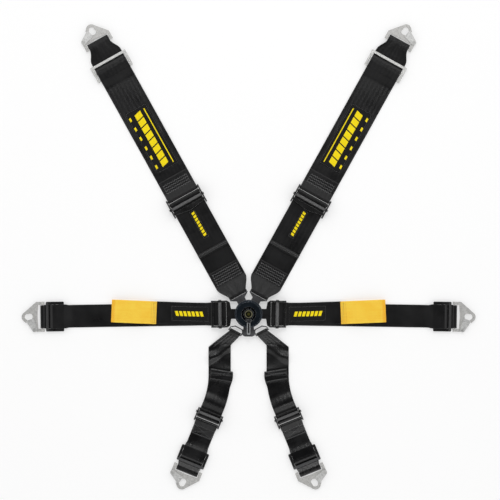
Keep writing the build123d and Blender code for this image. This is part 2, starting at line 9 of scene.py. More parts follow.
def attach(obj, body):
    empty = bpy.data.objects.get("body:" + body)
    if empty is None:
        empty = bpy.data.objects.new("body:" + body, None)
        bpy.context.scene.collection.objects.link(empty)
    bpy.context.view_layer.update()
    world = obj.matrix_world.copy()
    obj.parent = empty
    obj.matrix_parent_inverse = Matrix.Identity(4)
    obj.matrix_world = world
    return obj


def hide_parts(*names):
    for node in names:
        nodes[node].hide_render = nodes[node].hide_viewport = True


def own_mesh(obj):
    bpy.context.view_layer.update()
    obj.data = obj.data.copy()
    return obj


# Six-point racing harness laid out flat. Routes are in millimetres, and meshes in metres.
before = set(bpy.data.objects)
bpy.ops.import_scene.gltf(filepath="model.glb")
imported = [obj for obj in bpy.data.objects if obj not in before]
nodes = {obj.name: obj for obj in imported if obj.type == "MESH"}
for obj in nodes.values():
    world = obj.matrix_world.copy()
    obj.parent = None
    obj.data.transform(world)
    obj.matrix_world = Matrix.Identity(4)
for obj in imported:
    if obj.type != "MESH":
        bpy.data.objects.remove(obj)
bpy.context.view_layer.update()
MM = 0.001

# ---- sizes that the CAD source has too -----------------------------------------------------
CLOTH = 1.4
PLY, SEWN, RUN_Z = 1.8, 1.6, 1.05
PLATE_Z, BAR_Z, TURN_LOOP = 4.05, 4.5, 3.45
TONGUE_MID, TONGUE_LOOP = 9.5, 3.25
UNDER_Z, OVER_Z = 2.65, 7.05
SHOULDER_HALF, LAP_HALF, CROTCH_HALF = 36.5, 25.0, 24.6
HEADINGS = {"shoulder": 61.0, "lap": -0.9, "crotch": -68.0}
KNOB_R = 32.0
BEND_CENTRE, BEND_R, BEND_TURN = np.array([244.0, -135.0]), 180.0, math.radians(22)


# ---- belts in plan -------------------------------------------------------------------------
def unit(degrees):
    return np.array([math.cos(math.radians(degrees)), math.sin(math.radians(degrees))])


def straight_plan(heading, start=(0.0, 0.0)):
    """Plan of a straight belt: distance outward and distance to its left, to x and y."""
    along, across = unit(heading), unit(heading + 90)

    def place(out, side):
        return np.array(start) + along * out + across * side

    return place


WING = straight_plan(-62.5, (29.6, -41.0))
CROTCH_LOW = straight_plan(
    HEADINGS["crotch"], BEND_CENTRE - BEND_R * np.array([math.cos(BEND_TURN), math.sin(BEND_TURN)])
)
FAN_START, FAN_END, DROP_END = 2.0, 43.4, 106.4
ARC_END = DROP_END + BEND_R * BEND_TURN


def crotch_plan(out, side):
    """Plan of a crotch belt: half width at the tongue, fanned out, straight down, an arc, straight."""
    f = side / CROTCH_HALF
    if out <= FAN_START:
        return WING(out, 12.6 * f)
    if out <= FAN_END:
        t = (out - FAN_START) / (FAN_END - FAN_START)
        inner = WING(FAN_START, -12.6) * (1 - t) + np.array([39.4, -70.0]) * t
        outer = WING(FAN_START, 12.6) * (1 - t) + np.array([88.6, -74.0]) * t
        return inner * (1 - f) / 2 + outer * (1 + f) / 2
    if out <= DROP_END:
        slant = 2.0 * max(0.0, 1 - (out - FAN_END) / 14)
        return np.array([64.0 + side, -72.0 - (out - FAN_END) - slant * f])
    if out <= ARC_END:
        turn = (out - DROP_END) / BEND_R
        return BEND_CENTRE - (BEND_R - side) * np.array([math.cos(turn), math.sin(turn)])
    return CROTCH_LOW(out - ARC_END, side)


PLANS = {
    "shoulder": straight_plan(HEADINGS["shoulder"]),
    "lap": straight_plan(HEADINGS["lap"]),
    "crotch": crotch_plan,
}
BODIES = {
    ("shoulder", "right"): "belt_shoulder_right",
    ("shoulder", "left"): "belt_shoulder_left",
    ("lap", "right"): "belt_lap_right",
    ("lap", "left"): "buckle",
    ("crotch", "right"): "belts_crotch",
    ("crotch", "left"): "belts_crotch",
}


# ---- mesh helpers --------------------------------------------------------------------------
def rounded(points, radii, step):
    """Side-view line with rounded corners, as points no further apart than step."""
    line = [np.array(points[0], float)]
    for i in range(1, len(points) - 1):
        before, corner, after = (np.array(points[i + k], float) for k in (-1, 0, 1))
        a = (before - corner) / np.linalg.norm(before - corner)
        b = (after - corner) / np.linalg.norm(after - corner)
        angle = math.acos(max(-1.0, min(1.0, float(a @ b))))
        if math.pi - angle < 0.01:
            continue
        r = radii[i - 1]
        centre = corner + (a + b) / np.linalg.norm(a + b) * r / math.sin(angle / 2)
        start = corner + a * r / math.tan(angle / 2) - centre
        end = corner + b * r / math.tan(angle / 2) - centre
        sweep = math.atan2(start[0] * end[1] - start[1] * end[0], float(start @ end))
        count = max(2, int(abs(sweep) / 0.22) + 1)
        for k in range(count + 1):
            t = sweep * k / count
            line.append(centre + np.array([
                start[0] * math.cos(t) - start[1] * math.sin(t),
                start[0] * math.sin(t) + start[1] * math.cos(t),
            ]))
    line.append(np.array(points[-1], float))
    fine = [line[0]]
    for p in line[1:]:
        gap = np.linalg.norm(p - fine[-1])
        if gap < 0.02:
            continue
        start = fine[-1]
        for k in range(1, max(1, math.ceil(gap / step)) + 1):
            fine.append(start + (p - start) * k / max(1, math.ceil(gap / step)))
    return np.array(fine)


def new_mesh(name, points, faces, uvs=None):
    mesh = bpy.data.meshes.new(name)
    mesh.from_pydata([tuple(p) for p in np.array(points) * MM], [], faces)
    if uvs is not None:
        layer = mesh.uv_layers.new(name="run")
        flat = np.array([uvs[v] for f in faces for v in f], float) * MM
        layer.data.foreach_set("uv", flat.ravel())
    for polygon in mesh.polygons:
        polygon.use_smooth = True
    mesh.update()
    piece = bpy.data.objects.new(name, mesh)
    bpy.context.scene.collection.objects.link(piece)
    return piece


def mirrored(points):
    return np.array(points) * np.array([-1.0, 1.0, 1.0])


def make_pair(name, belt, points, faces, uvs, material):
    """The right-hand piece and its mirror image, each riding on its own belt's body."""
    made = []
    for side in ("right", "left"):
        here = points if side == "right" else mirrored(points)
        turned = faces if side == "right" else [tuple(reversed(f)) for f in faces]
        piece = new_mesh(f"{name}_{side}", here, turned, uvs)
        piece.data.materials.append(material)
        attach(piece, BODIES[belt, side])
        made.append(piece)
    return made


# where the webbing turns round an adjuster's bars: the piece on the buckle's side, then the other
SHOULDER_TURNS = 294.45, 296.55
CROTCH_TURNS = 35.05, 37.55
# patches and labels: from and to along the belt, and from and to across it
SHOULDER_PATCH = 366, 517, -26.5, 26.5
SHOULDER_LABEL = 190, 260, -8, 8
LAP_PATCH = 87, 171, -17.5, 17.5
# rows of zigzag stitches across the shoulder belt
TONGUE_ROWS, TONGUE_ROW_HALF = (87, 93, 99, 105, 111), 31
ADJUSTER_ROWS, ADJUSTER_ROW_HALF = (318, 324, 330, 336), 30

# across the webbing: place as a share of the half width, and share of the thickness there
INNER = np.linspace(-0.93, 0.93, 25)
COLUMNS = [(-1.0, 0.0), (-0.992, 0.75), (-0.975, 1.12), (-0.952, 1.12)]
COLUMNS += [(f, 1.0) for f in INNER]
COLUMNS += [(0.952, 1.12), (0.975, 1.12), (0.992, 0.75), (1.0, 0.0)]
TOPS = {}
SUNK = -0.15        # how far a patch's edge lies in the cloth


def webbing(name, belt, plan, route, radii, half, material, lift=None, width=None, askew=None):
    """Closed strip of webbing along a side-view route, with thicker woven edges."""
    nominal = width or half
    line = rounded(route, radii, 3.0)
    run = np.concatenate([[0], np.cumsum(np.linalg.norm(np.diff(line, axis=0), axis=1))])
    count = len(COLUMNS)
    grid = np.zeros((len(line), count, 3))
    for i, (out, z) in enumerate(line):
        wide = half(out) if callable(half) else half
        for j, (f, _) in enumerate(COLUMNS):
            further, left = askew(out, z, wide * f) if askew else (0.0, 0.0)
            grid[i, j, :2] = plan(out + further, wide * f + left)
            grid[i, j, 2] = z + (lift(out, f) if lift else 0.0)
    along = np.gradient(grid, axis=0)
    across = np.gradient(grid, axis=1)
    normal = np.cross(along, across)
    normal /= np.linalg.norm(normal, axis=2, keepdims=True)
    share = np.array([s for _, s in COLUMNS])[None, :, None]
    points = np.concatenate([
        (grid + normal * share * CLOTH / 2).reshape(-1, 3),
        (grid - normal * share * CLOTH / 2)[:, 1:-1].reshape(-1, 3),
    ])
    places = [(run[i], f * nominal) for i in range(len(line)) for f, _ in COLUMNS]
    uvs = places + [places[i * count + j] for i in range(len(line)) for j in range(1, count - 1)]

    def front(i, j):
        return i * count + j

    def back(i, j):
        if j in (0, count - 1):
            return i * count + j
        return len(line) * count + i * (count - 2) + j - 1

    faces = []
    for i in range(len(line) - 1):
        for j in range(count - 1):
            faces.append((front(i, j), front(i + 1, j), front(i + 1, j + 1), front(i, j + 1)))
            faces.append((back(i, j), back(i, j + 1), back(i + 1, j + 1), back(i + 1, j)))
    for i, order in ((0, 1), (len(line) - 1, -1)):
        for j in range(count - 1):
            loop = [front(i, j), front(i, j + 1), back(i, j + 1), back(i, j)][::order]
            faces.append(tuple(dict.fromkeys(loop)))
    pair = make_pair(name, belt, points, faces, uvs, material)
    TOPS.setdefault(belt, []).append((points, faces))
    return pair


def top_of(belt):
    """Looks down on a belt's finished webbing: x and y in, height of its top out."""
    points, faces = [], []
    for p, f in TOPS[belt]:
        start = len(points)
        points.extend(p.tolist())
        faces.extend(tuple(v + start for v in face) for face in f)
    tree = BVHTree.FromPolygons(points, faces)

    def drop(x, y):
        hit = tree.ray_cast(Vector((x, y, 100)), Vector((0, 0, -1)))[0]
        return 0.0 if hit is None else hit.z

    return drop


class Collected:
    """Many small raised shapes on one belt, gathered into one mesh."""

    # one thread stitch: share of its length, share of its thickness and rise there
    THREAD_RINGS = (
        (0.0, 0.25, -0.3), (0.14, 0.85, 0.0), (0.5, 1.0, 0.12), (0.86, 0.85, 0.0), (1.0, 0.25, -0.3),
    )

    def __init__(self, belt, plan=None):
        self.belt, self.plan = belt, plan or PLANS[belt]
        self.drop = top_of(belt)
        self.points, self.faces, self.uvs = [], [], []

    def at(self, out, side, rise=0.0):
        x, y = self.plan(out, side)
        return np.array([x, y, self.drop(x, y) + rise])

    def slab(self, corners, rise, cell=3.0, rim=0.35):
        """Raised patch over four plan corners, in order, following the cloth below."""
        c = [np.array(p, float) for p in corners]
        longest = max(np.linalg.norm(c[1] - c[0]), np.linalg.norm(c[2] - c[3]))
        tallest = max(np.linalg.norm(c[3] - c[0]), np.linalg.norm(c[2] - c[1]))
        m, n = max(2, int(longest / cell) + 1), max(2, int(tallest / cell) + 1)
        us, vs = (
            np.concatenate([[0, rim / long], np.linspace(0, 1, cells + 1)[1:-1], [1 - rim / long, 1]])
            for long, cells in ((longest, m), (tallest, n))
        )
        start = len(self.points)
        for i, u in enumerate(us):
            for j, v in enumerate(vs):
                p = (c[0] * (1 - u) + c[1] * u) * (1 - v) + (c[3] * (1 - u) + c[2] * u) * v
                edge = i in (0, len(us) - 1) or j in (0, len(vs) - 1)
                self.points.append(self.at(p[0], p[1], SUNK if edge else rise))
                self.uvs.append((p[0], p[1]))
        wide = len(vs)
        for i in range(len(us) - 1):
            for j in range(wide - 1):
                a = start + i * wide + j
                self.faces.append((a, a + wide, a + wide + 1, a + 1))

    def stitch(self, a, b, pitch=3.1, long=2.3, thick=0.5):
        """Row of thread stitches from a to b, in distance outward and to the left."""
        a, b = np.array(a, float), np.array(b, float)
        count = max(1, int(round(np.linalg.norm(b - a) / pitch)))
        for k in range(count):
            ends = [a + (b - a) * (k + 0.5 + h * long / pitch / 2) / count for h in (-1, 1)]
            p, q = (self.at(e[0], e[1], 0.12) for e in ends)
            along = (q - p) / max(1e-6, np.linalg.norm(q - p))
            side = np.cross(np.array([0, 0, 1.0]), along)
            side /= max(1e-6, np.linalg.norm(side))
            up = np.cross(along, side)
            start = len(self.points)
            for t, size, rise in self.THREAD_RINGS:
                for w in range(6):
                    turn = math.pi * w / 3
                    self.points.append(p + (q - p) * t + thick / 2 * size * (
                        side * math.cos(turn) + up * math.sin(turn)) + up * rise)
                    self.uvs.append((k * 3 + t * long, w * 0.2))
            for ring in range(4):
                for w in range(6):
                    c, d = start + ring * 6 + w, start + ring * 6 + (w + 1) % 6
                    self.faces.append((c, d, d + 6, c + 6))

    def finish(self, name, material):
        return make_pair(name, self.belt, np.array(self.points), self.faces, self.uvs, material)


# ---- materials -----------------------------------------------------------------------------
class Paint:
    """A material made of nodes. Values given here sit on the shader's own sockets."""

    def __init__(self, name, **sockets):
        self.material = bpy.data.materials.new(name)
        self.material.use_nodes = True
        self.tree = self.material.node_tree
        self.shader = self.tree.nodes["Principled BSDF"]
        for key, value in sockets.items():
            self.shader.inputs[key.replace("_", " ")].default_value = value

    def put(self, kind, inputs=None, **settings):
        node = self.tree.nodes.new("ShaderNode" + kind)
        for key, value in settings.items():
            setattr(node, key, value)
        for key, value in (inputs or {}).items():
            self.wire(value, node.inputs[key])
        return node

    def wire(self, value, socket):
        if isinstance(value, bpy.types.NodeSocket):
            self.tree.links.new(value, socket)
        else:
            socket.default_value = value

    def calc(self, operation, *values):
        node = self.put("Math", operation=operation)
        for i, value in enumerate(values):
            self.wire(value, node.inputs[i])
        return node.outputs[0]

    def noise(self, vector, scale, detail=3.0, rough=0.5):
        node = self.put("TexNoise", {"Vector": vector, "Scale": scale, "Detail": detail, "Roughness": rough})
        return node.outputs[0]

    def ramp(self, factor, *stops):
        node = self.put("ValToRGB", {"Fac": factor})
        elements = node.color_ramp.elements
        while len(elements) < len(stops):
            elements.new(0.5)
        for element, (place, colour) in zip(elements, stops):
            element.position = place
            element.color = (*colour, 1) if hasattr(colour, "__len__") else (colour, colour, colour, 1)
        return node.outputs[0]

    def mix(self, factor, a, b):
        node = self.put("Mix", data_type="RGBA")
        self.wire(factor, node.inputs[0])
        self.wire(a if isinstance(a, bpy.types.NodeSocket) else (*a, 1), node.inputs[6])
        self.wire(b if isinstance(b, bpy.types.NodeSocket) else (*b, 1), node.inputs[7])
        return node.outputs[2]

    def bump(self, height, distance, strength=1.0, normal=None):
        node = self.put("Bump", {"Height": height, "Distance": distance, "Strength": strength})
        if normal is not None:
            self.wire(normal, node.inputs["Normal"])
        return node.outputs[0]

    def edges(self, radius):
        """Rounded-edge normal, and a mask that is 1 on sharp edges."""
        soft = self.put("Bevel", {"Radius": radius}, samples=4).outputs[0]
        plain = self.put("NewGeometry").outputs["Normal"]
        same = self.put("VectorMath", {0: soft, 1: plain}, operation="DOT_PRODUCT").outputs["Value"]
        # this mask lightens edge colour in the paints below: partly wear, partly painted highlight
        edge_wear_and_highlight = self.put("MapRange", {"Value": same, "From Min": 0.995, "From Max": 0.9}).outputs[0]
        return soft, edge_wear_and_highlight

    def set(self, **sockets):
        for key, value in sockets.items():
            self.wire(value, self.shader.inputs[key.replace("_", " ")])
        return self.material


def cloth_paint(name, dark, light, rib=1.25, chevron=9.0, sheen=0.1, specular=0.5, rough=0.48, relief=0.7,
                shaded_folds=()):
    """Woven polyester: fine warp yarns, chevron twill and streaks, from the strip's own lengths.
    A fold is a distance along the strip, in mm, and its width; near it the colour is painted darker, towards
    the dark colour, as painted shade in the fold."""
    p = Paint(name, Roughness=rough, Sheen_Weight=sheen, Sheen_Roughness=0.45, Specular_IOR_Level=specular)
    split = p.put("SeparateXYZ", {"Vector": p.put("UVMap", uv_map="run").outputs[0]})
    run, side = (p.calc("MULTIPLY", split.outputs[i], 1000.0) for i in (0, 1))
    zigzag = p.calc("PINGPONG", p.calc("ADD", side, 200.0), chevron / 2)
    twill = p.calc("SINE", p.calc("MULTIPLY", p.calc("ADD", run, zigzag), 2 * math.pi / rib))
    warp = p.calc("SINE", p.calc("MULTIPLY", side, 2 * math.pi / 0.62))
    weave = p.calc("ADD", p.calc("MULTIPLY", twill, 0.55), p.calc("MULTIPLY", warp, 0.3))
    where = p.put("TexCoord").outputs["Object"]
    patchy = p.noise(where, 24.0, 4.0, 0.6)
    fuzz = p.noise(where, 2600.0, 2.0)
    stretched = {"X": p.calc("MULTIPLY", run, 0.012), "Y": p.calc("MULTIPLY", side, 0.4)}
    yarns = p.noise(p.put("CombineXYZ", stretched).outputs[0], 1.0, 3.0)
    tone = 0.0
    for part, share in ((weave, 0.22), (patchy, 0.45), (yarns, 0.22), (fuzz, 0.2)):
        tone = p.calc("MULTIPLY_ADD", part, share, tone)
    # painted shade: near each fold the tone is lowered, so the colour goes darker where the cloth turns over
    for place, wide in shaded_folds:
        away = p.calc("ABSOLUTE", p.calc("SUBTRACT", run, place))
        limits = {"Value": away, "From Min": wide, "From Max": wide / 3, "To Max": 0.25}
        fold_shade = p.put("MapRange", limits, interpolation_type="SMOOTHSTEP").outputs[0]
        tone = p.calc("SUBTRACT", tone, fold_shade)
    height = p.calc("ADD", weave, p.calc("MULTIPLY", fuzz, 0.5))
    return p.set(
        Base_Color=p.mix(p.ramp(tone, (0.12, 0.0), (0.75, 1.0)), dark, light),
        Normal=p.bump(height, 0.00005, relief),
        Roughness=p.ramp(patchy, (0.3, rough - 0.08), (0.7, rough + 0.1)),
    )


def thread_paint(name, dark, light):
    """Twisted sewing thread."""
    p = Paint(name, Roughness=0.5, Sheen_Weight=0.2, Specular_IOR_Level=0.4)
    split = p.put("SeparateXYZ", {"Vector": p.put("UVMap", uv_map="run").outputs[0]})
    twist = p.calc("SINE", p.calc("MULTIPLY", p.calc("ADD", split.outputs[0], split.outputs[1]), 9000.0))
    shade = p.ramp(p.calc("MULTIPLY_ADD", twist, 0.5, 0.5), (0.0, 0.0), (1.0, 1.0))
    return p.set(Base_Color=p.mix(shade, dark, light), Normal=p.bump(twist, 0.0001, 0.6))


def plated_paint(name, colour, rough, metallic=1.0):
    """Zinc-plated pressed steel: cloudy passivation, brushed grain, and edges painted brighter, partly as
    wear and partly as painted highlight.
    """
    p = Paint(name, Metallic=metallic)
    where = p.put("TexCoord").outputs["Object"]
    cloud = p.noise(where, 160.0, 5.0, 0.6)
    speck = p.noise(where, 1400.0, 2.0)
    brushed = p.noise(p.put("Mapping", {"Vector": where, "Scale": (500.0, 60.0, 500.0)}).outputs[0], 4.0, 3.0)
    soft, edge_wear_and_highlight = p.edges(0.0006)
    tone = p.calc("ADD", p.calc("MULTIPLY", cloud, 0.6), p.calc("MULTIPLY", speck, 0.4))
    base = p.ramp(tone, (0.3, [c * 0.78 for c in colour]), (0.7, [min(1.0, c * 1.1) for c in colour]))
    spots = p.ramp(p.noise(where, 380.0, 4.0, 0.75), (0.38, 1.0), (0.50, 0.0))
    base = p.mix(p.calc("MULTIPLY", spots, 0.6), base, [c * 0.48 for c in colour])
    return p.set(
        # painted highlight and wear: edges mixed halfway to near white
        Base_Color=p.mix(p.calc("MULTIPLY", edge_wear_and_highlight, 0.5), base, (0.93, 0.93, 0.92)),
        Roughness=p.ramp(cloud, (0.3, rough - 0.07), (0.7, rough + 0.1)),
        Normal=p.bump(p.calc("ADD", brushed, p.calc("MULTIPLY", speck, 0.6)), 0.00012, 0.35, soft),
    )


def coated_paint(name, colour, rough, wear_and_highlight_colour=(0.3, 0.3, 0.3), wear=0.55, metallic=0.0,
                 below=None, rubbed_bar=None):
    """Black coated steel: orange-peel coat, dust in it, and edges painted lighter, partly as scuffed coat and
    partly as painted highlight. Below a given height it stays black. A rubbed bar is given as its belt's
    heading, its middle, half width and colour."""
    p = Paint(name, Metallic=metallic, Specular_IOR_Level=0.5)
    where = p.put("TexCoord").outputs["Object"]
    peel = p.noise(where, 900.0, 3.0)
    cloud = p.noise(where, 60.0, 4.0, 0.6)
    soft, edge_wear_and_highlight = p.edges(0.0007)
    uneven = p.ramp(p.noise(where, 300.0, 3.0), (0.3, 0.3), (0.65, 1.0))
    # painted highlight and scuffed coat: edges lightened towards the wear_and_highlight_colour
    rubbed = p.calc("MULTIPLY", p.calc("MULTIPLY", edge_wear_and_highlight, wear), uneven)
    base = p.ramp(cloud, (0.3, [c * 0.75 for c in colour]), (0.75, [c * 1.35 for c in colour]))
    base = p.mix(rubbed, base, wear_and_highlight_colour)
    if rubbed_bar is not None:
        heading, middle, half_wide, bare = rubbed_bar
        along = (math.cos(math.radians(heading)), math.sin(math.radians(heading)), 0)
        out = p.put("VectorMath", {0: where, 1: along}, operation="DOT_PRODUCT").outputs["Value"]
        away = p.calc("ABSOLUTE", p.calc("SUBTRACT", out, middle))
        limits = {"Value": away, "From Min": half_wide + 0.0004, "From Max": half_wide - 0.0006}
        bar = p.put("MapRange", limits).outputs[0]
        scuffed = p.ramp(p.noise(where, 500.0, 4.0, 0.6), (0.3, 0.55), (0.6, 1.0))
        base = p.mix(p.calc("MULTIPLY", bar, scuffed), base, bare)
    if below is not None:
        height = p.put("SeparateXYZ", {"Vector": where}).outputs[2]
        base = p.mix(p.calc("LESS_THAN", height, below), base, (0.004, 0.004, 0.005))
    return p.set(
        Base_Color=base,
        Roughness=p.ramp(cloud, (0.25, rough - 0.06), (0.75, rough + 0.1)),
        Normal=p.bump(peel, 0.00012, 0.5, soft),
    )


def knurled_paint(name, heading, colour, metallic, rough, pitch, worn_colour, wear=0.35):
    """Cross-knurled bar that lies across a belt with that heading."""
    p = Paint(name, Metallic=metallic)
    where = p.put("TexCoord").outputs["Object"]
    turned = p.put("Mapping", {"Vector": where, "Rotation": (0, 0, -math.radians(heading))}).outputs[0]
    split = p.put("SeparateXYZ", {"Vector": turned})
    wave = 2 * math.pi / (pitch * MM)
    rise = p.calc("ADD", split.outputs[0], split.outputs[2])
    one = p.calc("SINE", p.calc("MULTIPLY", p.calc("ADD", rise, split.outputs[1]), wave))
    two = p.calc("SINE", p.calc("MULTIPLY", p.calc("SUBTRACT", rise, split.outputs[1]), wave))
    height = p.calc("ADD", p.calc("ABSOLUTE", one), p.calc("ABSOLUTE", two))
    cloud = p.noise(where, 220.0, 4.0)
    soft, edge_wear_and_highlight = p.edges(0.0006)
    peaks = p.ramp(p.calc("MULTIPLY", height, 0.5), (0.45, 0.0), (0.95, 1.0))
    base = p.ramp(cloud, (0.3, [c * 0.75 for c in colour]), (0.7, [min(1.0, c * 1.2) for c in colour]))
    return p.set(
        Base_Color=p.mix(p.calc("MULTIPLY", peaks, wear), base, worn_colour),
        Roughness=p.ramp(cloud, (0.3, rough - 0.06), (0.7, rough + 0.1)),
        Normal=p.bump(height, 0.00035, 0.8, soft),
    )


def turned_paint(name, rings, rough):
    """Anodised disc, turned on a lathe: rings gives colours against the share of the knob's radius."""
    p = Paint(name, Metallic=1.0)
    where = p.put("TexCoord").outputs["Object"]
    flat = p.put("VectorMath", {0: where, 1: (1, 1, 0)}, operation="MULTIPLY").outputs[0]
    radius = p.put("VectorMath", {0: flat}, operation="LENGTH").outputs["Value"]
    share = p.calc("DIVIDE", radius, KNOB_R * MM)
    grooves = p.noise(p.put("CombineXYZ", {"X": p.calc("MULTIPLY", radius, 9000.0)}).outputs[0], 1.0, 2.0)
    cloud = p.noise(where, 90.0, 4.0, 0.6)
    soft, edge_wear_and_highlight = p.edges(0.0005)
    base = p.ramp(share, *rings)
    tinted = p.mix(p.calc("MULTIPLY", cloud, 0.35), base, (0.0, 0.0, 0.0))
    return p.set(
        # edges lightened halfway to grey: partly wear, partly painted highlight
        Base_Color=p.mix(p.calc("MULTIPLY", edge_wear_and_highlight, 0.5), tinted, (0.5, 0.52, 0.55)),
        Roughness=p.ramp(cloud, (0.3, rough - 0.05), (0.7, rough + 0.1)),
        Normal=p.bump(grooves, 0.00006, 0.5, soft),
    )


WEBBING = cloth_paint("webbing_black", (0.0016, 0.0016, 0.0018), (0.0065, 0.0065, 0.007), sheen=0.01,
                      specular=0.33, rough=0.35)
SATIN = cloth_paint("webbing_satin", (0.0008, 0.0008, 0.001), (0.004, 0.004, 0.0044), sheen=0.0,
                    specular=0.52, rough=0.27, relief=0.4)
# the pull loop gets painted shade at its folds, 101 mm and 4 mm along it
YELLOW = cloth_paint("webbing_yellow", (0.90, 0.42, 0.003), (1.0, 0.79, 0.09), chevron=7.0, specular=0.4,
                     rough=0.5, shaded_folds=((101.0, 11.0), (4.0, 9.0)))
THREAD = thread_paint("thread_black", (0.04, 0.04, 0.041), (0.20, 0.20, 0.203))
THREAD_YELLOW = thread_paint("thread_ochre", (0.45, 0.24, 0.01), (0.8, 0.5, 0.05))
PATCH = cloth_paint("patch_black", (0.002, 0.002, 0.002), (0.007, 0.007, 0.007), rib=0.8, chevron=400.0,
                    specular=0.2, rough=0.7)
PRINT = cloth_paint("embroidery_yellow", (0.85, 0.60, 0.0), (1.0, 0.84, 0.005), rib=0.7, chevron=500.0,
                    specular=0.2, rough=0.6)
ZINC = plated_paint("zinc_plate", (0.60, 0.595, 0.58), 0.5, metallic=0.5)
LATCH = plated_paint("latch_zinc", (0.72, 0.72, 0.71), 0.45, metallic=0.55)
RIVET = plated_paint("rivet_steel", (0.62, 0.62, 0.605), 0.42, metallic=0.7)
# light edge colours with a high share: painted edge highlights on the black and tongue steel, as well as wear
BLACK = coated_paint("black_steel", (0.005, 0.005, 0.0053), 0.27, (0.42, 0.42, 0.42), 0.8)
TONGUE = coated_paint("tongue_steel", (0.10, 0.10, 0.105), 0.36, (0.6, 0.6, 0.6), 0.9, metallic=0.7)
LEVER = coated_paint("lever_black", (0.016, 0.017, 0.020), 0.35, (0.6, 0.6, 0.6), 0.9, metallic=0.2,
                     below=30.9 * MM, rubbed_bar=(-90, 33.0 * MM, 13.0 * MM, (0.34, 0.35, 0.36)))
HOUSING = coated_paint("dark_anodised", (0.010, 0.014, 0.022), 0.35, (0.3, 0.33, 0.38))
KNOB = turned_paint(
    "knob_anodised",
    [(0.0, (0.004, 0.005, 0.006)), (0.50, (0.004, 0.005, 0.006)), (0.52, (0.032, 0.043, 0.056)),
     (0.80, (0.028, 0.038, 0.050)), (0.9, (0.014, 0.019, 0.026))], 0.34,
)
BADGE = turned_paint(
    "badge_metal",
    [(0.0, (0.22, 0.20, 0.05)), (0.085, (0.20, 0.19, 0.05)), (0.11, (0.10, 0.10, 0.03)),
     (0.125, (0.02, 0.02, 0.01)), (0.155, (0.012, 0.012, 0.012)), (0.195, (0.06, 0.06, 0.03)),
     (0.205, (0.55, 0.52, 0.32)), (0.255, (0.60, 0.57, 0.38)), (0.27, (0.02, 0.02, 0.02))], 0.3,
)
INSIDE = plated_paint("inner_steel", (0.5, 0.5, 0.5), 0.35)


def paint(node, material):
    piece = nodes[node]
    if not piece.material_slots:
        piece.data.materials.append(None)
    piece.material_slots[0].material = material


# place of each slider's rubbed outer bar, from the belt's straight run's start, and its colour
RUBBED_BARS = {"lap": (444.0, (0.05, 0.05, 0.05)), "crotch": (137.5, (0.075, 0.075, 0.077))}
RUN_STARTS = {"lap": np.zeros(2), "crotch": CROTCH_LOW(0, 0)}


def slider_paint(node, belt, side):
    """Black coat, rubbed grey on the bar that the webbing pulls over."""
    middle, bare = RUBBED_BARS[belt]
    heading = HEADINGS[belt]
    middle = (middle + RUN_STARTS[belt] @ unit(heading)) * MM
    bar = (heading if side == 1 else 180 - heading, middle, 3.0 * MM, bare)
    return coated_paint(f"black_{node}", (0.006, 0.006, 0.0063), 0.3, (0.3, 0.3, 0.3), 0.6, rubbed_bar=bar)


for node in nodes:
    side = -1 if node.endswith("_left") else 1
    if node.startswith("anchor"):
        paint(node, ZINC)
    elif node.startswith("latch_rivet"):
        paint(node, RIVET)
    elif node.startswith("latch"):
        paint(node, LATCH)
    elif node.startswith("slider_shoulder"):
        heading = 90 - side * (90 - HEADINGS["shoulder"])
        paint(node, knurled_paint(f"knurled_zinc_{node}", heading, (0.42, 0.42, 0.41), 0.9, 0.32,
                                  3.6, (0.95, 0.95, 0.93), 0.85))
    elif node.startswith("lock_bar"):
        heading = HEADINGS[node.split("_")[2]]
        heading = heading if side == 1 else 180 - heading
        paint(node, knurled_paint(f"knurled_black_{node}", heading, (0.10, 0.10, 0.102), 0.4, 0.34,
                                  1.0, (0.3, 0.3, 0.3)))
    elif node.startswith("slider"):
        paint(node, slider_paint(node, node.split("_")[1], side))
    elif node.startswith(("adjuster", "tongue_lap")):
        paint(node, BLACK)
    elif node.startswith("tongue"):
        paint(node, TONGUE)
paint("housing", HOUSING)
paint("back_plate", HOUSING)
paint("knob", KNOB)
paint("knob_badge", BADGE)
paint("knob_lever", LEVER)
for node in ("buckle_screws", "cam_rotor", "pin_carrier"):
    paint(node, INSIDE)


# ---- webbing -------------------------------------------------------------------------------
def smooth_between(x, a, b):
    t = max(0.0, min(1.0, (x - a) / (b - a)))
    return t * t * (3 - 2 * t)


def hook_end(slider, pitch, bar, reach):
    """Route through a three-bar slider, round the anchor's bar and back to a hidden tail."""
    inner, outer = slider - pitch, slider + pitch
    route = [
        (inner - 22, RUN_Z), (inner - 3, OVER_Z), (slider - 4, OVER_Z + SEWN),
        (slider + 4.6, OVER_Z + SEWN), (outer - 4, UNDER_Z), (outer + 3.5, UNDER_Z),
        (bar - 3, PLATE_Z + 3), (bar + reach, PLATE_Z + 3), (bar + reach, RUN_Z), (outer - 5, RUN_Z),
        (slider + 3.9, OVER_Z), (slider - 3.2, OVER_Z), (inner + 4, UNDER_Z), (inner - 5, UNDER_Z),
    ]
    return route, [20, 6, 6, 3, 3, 3, 3, 2.9, 2.9, 3, 3, 3, 3]


def hem(x, z):
    """Folded end of a belt, twice over. Its last fold stands up a little."""
    return [(x, z), (x, z + PLY), (x + 9.5, z + PLY), (x + 9.5, z + 2 * PLY), (x + 1.5, z + 2 * PLY + 2.0)]


def shoulder_half(out):
    if out < 78:
        return 18.5 + 18.0 * smooth_between(out, 42, 80)
    return SHOULDER_HALF - 11.5 * smooth_between(out, 648, 676)


def shoulder_lift(out, f):
    """Loose waves along the belt, and pleats where it is gathered."""
    calm = smooth_between(out, 84, 130) * (1 - smooth_between(out, 240, 262))
    calm += smooth_between(out, 345, 380) * (1 - smooth_between(out, 570, 600))
    wave = 0.6 * (1 + math.sin(out / 17.0 + 1.1 * f)) * (0.6 + 0.4 * math.cos(out / 67.0))
    gathered = 1 - smooth_between(out, 50, 84) + smooth_between(out, 650, 672)
    gathered *= smooth_between(out, 47, 52) * (1 - smooth_between(out, 672, 680))
    return calm * max(0.0, wave) + gathered * 0.2 * (1 - math.cos(3 * math.pi * f))


